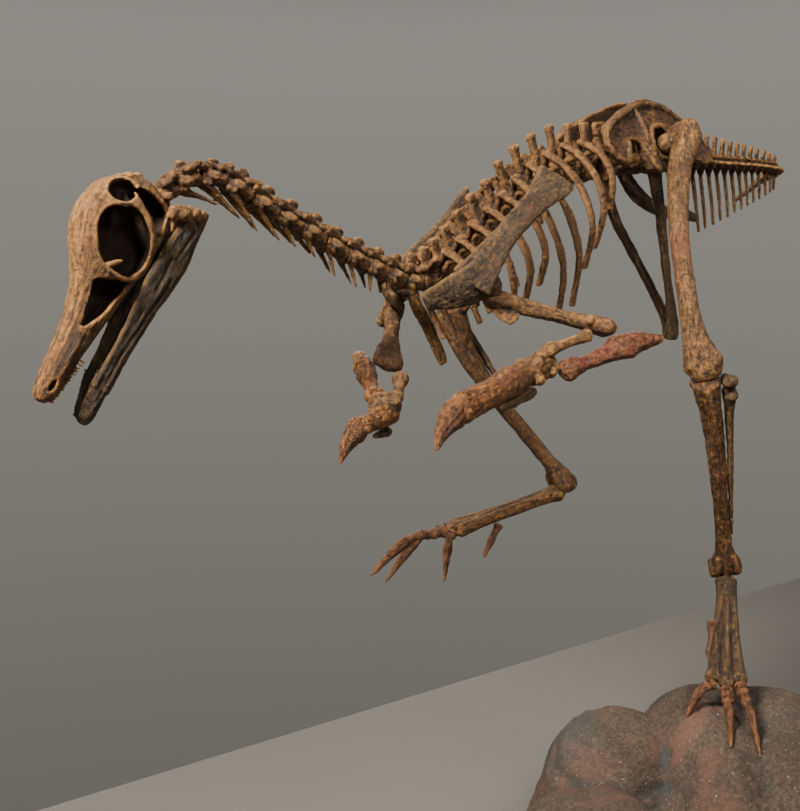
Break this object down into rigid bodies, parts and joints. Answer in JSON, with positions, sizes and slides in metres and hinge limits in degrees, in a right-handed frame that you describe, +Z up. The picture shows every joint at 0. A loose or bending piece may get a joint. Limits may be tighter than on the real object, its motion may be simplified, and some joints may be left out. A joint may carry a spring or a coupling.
{
  "type": "mounted dinosaur skeleton",
  "caption": "Small two-legged dinosaur skeleton striding on a boulder, head lowered, one leg raised, short arms with a single large claw each, long tail.",
  "frame": {"origin": "on the flat underside of the boulder, straight below the hips", "axes": "+Z up; the animal looks along -X and its left side is -Y"},
  "size_m": [0.6824, 0.3008, 0.4935],
  "materials": {
    "bone": "cast bone, ochre brown with dark stain in the pits, satin",
    "bone_dark": "cast bone, darker olive brown, satin",
    "bone_red": "cast bone with a rusty red stain, satin",
    "claw": "cast claw, orange brown, satin",
    "stone": "painted stone, granular, matt"
  },
  "bodies": {
    "root": {"femur_left": "bone", "femur_right": "bone", "fibula_left": "bone_dark", "fibula_right": "bone_dark", "finger_left": "bone_red", "finger_right": "bone_red", "finger_splint_left": "bone_dark", "finger_splint_right": "bone_dark", "foot_bones_left": "bone", "foot_bones_right": "bone", "hand_claw_left": "claw", "hand_claw_right": "claw", "humerus_left": "bone", "humerus_right": "bone", "ilium_left": "bone", "ilium_right": "bone", "ischium_left": "bone_dark", "ischium_right": "bone_dark", "mandible": "bone_dark", "neck_front": "bone", "neck_middle": "bone", "neck_rear": "bone", "pubis_left": "bone_dark", "pubis_right": "bone_dark", "radius_left": "bone", "radius_right": "bone", "sacrum": "bone", "scapula_left": "bone", "scapula_right": "bone", "skull": "bone", "stand_rock": "stone", "sternum": "bone", "tail_base": "bone", "tail_middle": "bone", "tail_tip": "bone", "tibia_left": "bone", "tibia_right": "bone", "toe_first_left": "claw", "toe_first_right": "claw", "toe_inner_left": "claw", "toe_inner_right": "claw", "toe_middle_left": "claw", "toe_middle_right": "claw", "toe_outer_left": "claw", "toe_outer_right": "claw", "trunk_left": "bone", "trunk_right": "bone", "ulna_left": "bone_red", "ulna_right": "bone_red", "wrist_left": "bone", "wrist_right": "bone"}
  },
  "joints": []
}
